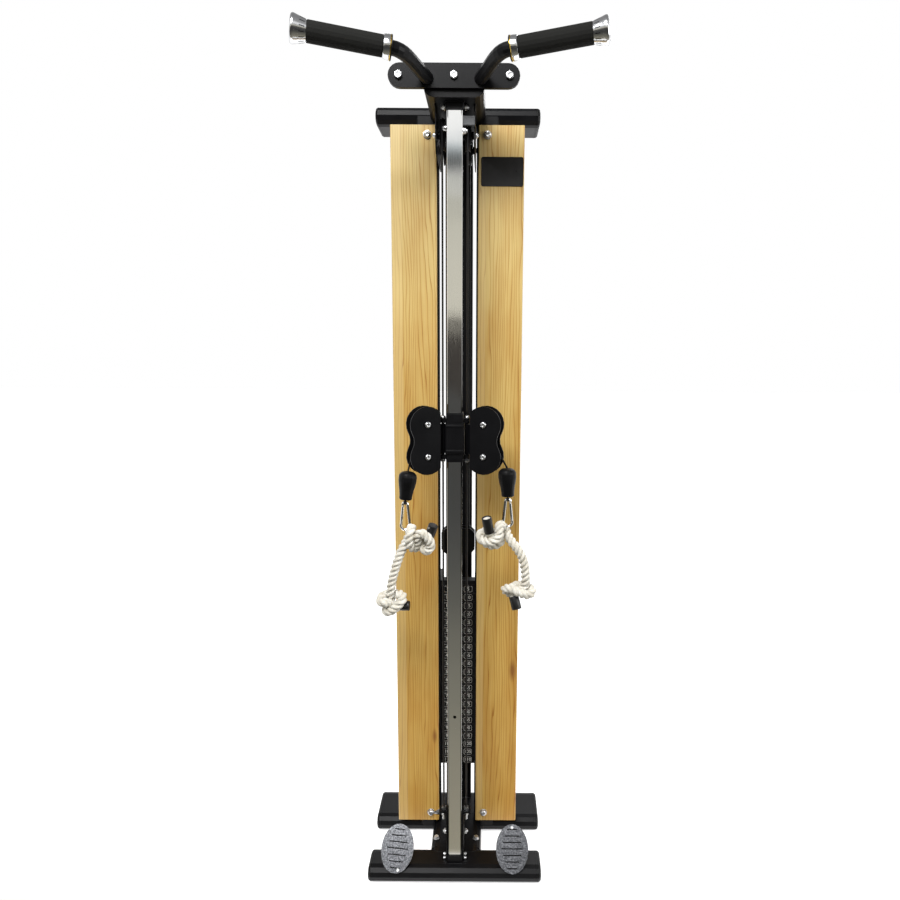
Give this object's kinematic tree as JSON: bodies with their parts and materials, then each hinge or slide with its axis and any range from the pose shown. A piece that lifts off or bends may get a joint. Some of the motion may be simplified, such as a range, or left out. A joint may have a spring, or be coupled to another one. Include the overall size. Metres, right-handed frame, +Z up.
{
  "type": "multi gym station",
  "caption": "Free standing cable training station with a pin loaded weight stack, a sliding twin pulley carriage, rope handles, pull up grips and foot plates",
  "frame": {"origin": "on the floor under the slide post's axis", "axes": "X across the station, Y from the handles to the weight stack, Z up"},
  "size_m": [0.6942, 0.6049, 2.2301],
  "materials": {
    "black_powder_coat": "matte powder coat",
    "black_plastic": "moulded",
    "black_foam": "closed cell foam",
    "pine": "clear lacquer",
    "polished_steel": "polished",
    "zinc_steel": "zinc plated",
    "silver_plate": "brushed",
    "bright_aluminium": "polished",
    "black_iron": "painted",
    "black_cable": "nylon coated cable",
    "cotton_rope": "twisted cotton"
  },
  "bodies": {
    "frame": {"base_frame": "black_powder_coat", "top_frame": "black_powder_coat", "handle_plate": "black_powder_coat", "slide_post": "polished_steel", "rear_column": "black_powder_coat", "resting_weight_plates": "black_iron", "front_base_cap_left": "black_plastic", "rear_base_cap_left": "black_plastic", "top_tube_cap_left": "black_plastic", "handle_tube_left": "black_powder_coat", "foam_grip_left": "black_foam", "grip_end_cap_left": "bright_aluminium", "grip_collar_left": "bright_aluminium", "board_left": "pine", "upright_left": "black_powder_coat", "foot_plate_left": "silver_plate", "guide_rod_left": "polished_steel", "front_cable_left": "black_cable", "cable_terminal_left": "zinc_steel", "front_base_cap_right": "black_plastic", "rear_base_cap_right": "black_plastic", "top_tube_cap_right": "black_plastic", "handle_tube_right": "black_powder_coat", "foam_grip_right": "black_foam", "grip_end_cap_right": "bright_aluminium", "grip_collar_right": "bright_aluminium", "board_right": "pine", "upright_right": "black_powder_coat", "foot_plate_right": "silver_plate", "guide_rod_right": "polished_steel", "front_cable_right": "black_cable", "cable_terminal_right": "zinc_steel"},
    "carriage": {"carriage_collar": "black_powder_coat", "carriage_liner": "black_plastic"},
    "stack": {"lifted_weight_plates": "black_iron", "stack_top_plate": "black_iron", "weight_stem": "black_powder_coat", "cable_bend": "black_cable", "lift_cable_left": "black_cable", "lift_cable_right": "black_cable"},
    "travel_wheel": {"travelling_pulley": "black_plastic"},
    "pin": {"selector_pin": "polished_steel"},
    "top_front_wheel_left": {"top_front_pulley_left": "black_plastic"},
    "top_rear_wheel_left": {"top_rear_pulley_left": "black_plastic"},
    "cage_left": {"pulley_cage_left": "black_powder_coat", "cable_stopper_left": "black_plastic"},
    "upper_wheel_left": {"upper_pulley_left": "black_plastic"},
    "lower_wheel_left": {"lower_pulley_left": "black_plastic"},
    "handle_left": {"snap_hook_left": "polished_steel", "rope_handle_left": "cotton_rope"},
    "gate_left": {"snap_hook_gate_left": "polished_steel"},
    "top_front_wheel_right": {"top_front_pulley_right": "black_plastic"},
    "top_rear_wheel_right": {"top_rear_pulley_right": "black_plastic"},
    "cage_right": {"pulley_cage_right": "black_powder_coat", "cable_stopper_right": "black_plastic"},
    "upper_wheel_right": {"upper_pulley_right": "black_plastic"},
    "lower_wheel_right": {"lower_pulley_right": "black_plastic"},
    "handle_right": {"snap_hook_right": "polished_steel", "rope_handle_right": "cotton_rope"},
    "gate_right": {"snap_hook_gate_right": "polished_steel"}
  },
  "joints": [
    {"name": "stack_lift", "type": "slide", "parent": "frame", "child": "stack", "axis": [0, 0, 1], "range_m": [0, 0.85], "deforming": ["lift_cable_left", "lift_cable_right"]},
    {"name": "travel_wheel_spin", "type": "hinge", "parent": "stack", "child": "travel_wheel", "pos_m": [0, 0.225, 0.937], "axis": [0, 1, 0], "continuous": true},
    {"name": "pin_pull", "type": "slide", "parent": "stack", "child": "pin", "axis": [0, -1, 0], "range_m": [0, 0.05]},
    {"name": "carriage_slide", "type": "slide", "parent": "frame", "child": "carriage", "axis": [0, 0, 1], "range_m": [-0.65, 0.6]},
    {"name": "top_front_wheel_left_spin", "type": "hinge", "parent": "frame", "child": "top_front_wheel_left", "pos_m": [-0.032, 0.039, 2.062], "axis": [1, 0, 0], "range_deg": [-1300, 1300]},
    {"name": "top_rear_wheel_left_spin", "type": "hinge", "parent": "frame", "child": "top_rear_wheel_left", "pos_m": [-0.032, 0.186, 2.062], "axis": [1, 0, 0], "range_deg": [-1300, 1300]},
    {"name": "cage_swivel_left", "type": "hinge", "parent": "carriage", "child": "cage_left", "pos_m": [-0.032, 0, 1.29], "axis": [0, 0, 1], "range_deg": [-70, 30]},
    {"name": "upper_wheel_left_spin", "type": "hinge", "parent": "cage_left", "child": "upper_wheel_left", "pos_m": [-0.07694, -0.02192, 1.327], "axis": [-0.4384, 0.8988, 0], "continuous": true},
    {"name": "lower_wheel_left_spin", "type": "hinge", "parent": "cage_left", "child": "lower_wheel_left", "pos_m": [-0.07694, -0.02192, 1.242], "axis": [-0.4384, 0.8988, 0], "continuous": true},
    {"name": "handle_swing_left", "type": "hinge", "parent": "cage_left", "child": "handle_left", "pos_m": [-0.12917, -0.045, 1.12452], "axis": [1, 0, 0], "range_deg": [-90, 20]},
    {"name": "gate_open_left", "type": "hinge", "parent": "handle_left", "child": "gate_left", "pos_m": [-0.13598, -0.045, 1.11087], "axis": [0, -1, 0], "range_deg": [0, 16], "stiffness_Nm_per_rad": 0.2, "springref_deg": -5.73},
    {"name": "top_front_wheel_right_spin", "type": "hinge", "parent": "frame", "child": "top_front_wheel_right", "pos_m": [0.032, 0.039, 2.062], "axis": [1, 0, 0], "range_deg": [-1300, 1300]},
    {"name": "top_rear_wheel_right_spin", "type": "hinge", "parent": "frame", "child": "top_rear_wheel_right", "pos_m": [0.032, 0.186, 2.062], "axis": [1, 0, 0], "range_deg": [-1300, 1300]},
    {"name": "cage_swivel_right", "type": "hinge", "parent": "carriage", "child": "cage_right", "pos_m": [0.032, 0, 1.29], "axis": [0, 0, -1], "range_deg": [-61, 39]},
    {"name": "upper_wheel_right_spin", "type": "hinge", "parent": "cage_right", "child": "upper_wheel_right", "pos_m": [0.07981, -0.01462, 1.327], "axis": [0.2924, 0.9563, 0], "continuous": true},
    {"name": "lower_wheel_right_spin", "type": "hinge", "parent": "cage_right", "child": "lower_wheel_right", "pos_m": [0.07981, -0.01462, 1.242], "axis": [0.2924, 0.9563, 0], "continuous": true},
    {"name": "handle_swing_right", "type": "hinge", "parent": "cage_right", "child": "handle_right", "pos_m": [0.14151, -0.0325, 1.13206], "axis": [1, 0, 0], "range_deg": [-90, 20]},
    {"name": "gate_open_right", "type": "hinge", "parent": "handle_right", "child": "gate_right", "pos_m": [0.14832, -0.0325, 1.11841], "axis": [0, 1, 0], "range_deg": [0, 16], "stiffness_Nm_per_rad": 0.2, "springref_deg": -5.73}
  ],
  "couplings": [
    {"joint": "top_front_wheel_left_spin", "follows": "stack_lift", "rad_per_m": 25.641},
    {"joint": "top_rear_wheel_left_spin", "follows": "stack_lift", "rad_per_m": 25.641},
    {"joint": "top_front_wheel_right_spin", "follows": "stack_lift", "rad_per_m": 25.641},
    {"joint": "top_rear_wheel_right_spin", "follows": "stack_lift", "rad_per_m": 25.641}
  ]
}
